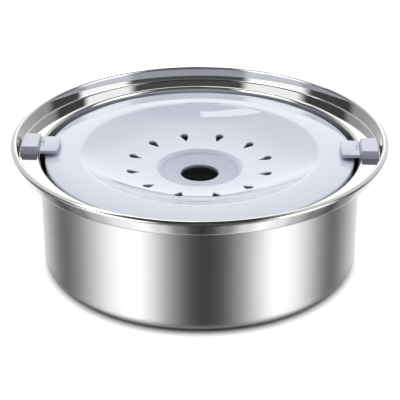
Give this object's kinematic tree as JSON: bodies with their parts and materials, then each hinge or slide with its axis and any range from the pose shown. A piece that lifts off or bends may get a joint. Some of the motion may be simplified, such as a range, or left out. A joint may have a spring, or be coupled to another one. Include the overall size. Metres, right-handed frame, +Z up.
{
  "type": "no-spill water bowl",
  "caption": "Steel water bowl with a wide splash rim, a dished float with drip holes, and flip-up latches that keep the float in.",
  "frame": {"origin": "centre of the bowl's base, on the surface it stands on", "axes": "+Z up along the bowl's axis, X through the two latches, -Y towards the viewer of the picture"},
  "size_m": [0.266, 0.266, 0.095],
  "materials": {
    "bowl_steel": "polished stainless, satin on the wall",
    "float_plastic": "semi-gloss moulded",
    "latch_plastic": "semi-gloss moulded",
    "fastener_steel": "bright stainless",
    "seal_rubber": "matt"
  },
  "bodies": {
    "bowl_body": {"bowl": "bowl_steel", "left_latch_base": "latch_plastic", "left_latch_screws": "fastener_steel", "left_latch_seals": "seal_rubber", "right_latch_base": "latch_plastic", "right_latch_screws": "fastener_steel", "right_latch_seals": "seal_rubber"},
    "float_body": {"float_dish": "float_plastic", "float_base": "float_plastic"},
    "left_tongue_body": {"left_latch_tongue": "latch_plastic", "left_latch_pin": "fastener_steel"},
    "right_tongue_body": {"right_latch_tongue": "latch_plastic", "right_latch_pin": "fastener_steel"}
  },
  "joints": [
    {"name": "float_slide", "type": "slide", "parent": "bowl_body", "child": "float_body", "axis": [0, 0, 1], "range_m": [-0.059, 0.0014], "stiffness_N_per_m": 265, "springref_m": 0.00744},
    {"name": "left_latch", "type": "hinge", "parent": "bowl_body", "child": "left_tongue_body", "pos_m": [-0.112, 0, 0.08645], "axis": [0, -1, 0], "range_deg": [0, 95]},
    {"name": "right_latch", "type": "hinge", "parent": "bowl_body", "child": "right_tongue_body", "pos_m": [0.112, 0, 0.08645], "axis": [0, 1, 0], "range_deg": [0, 95]}
  ]
}
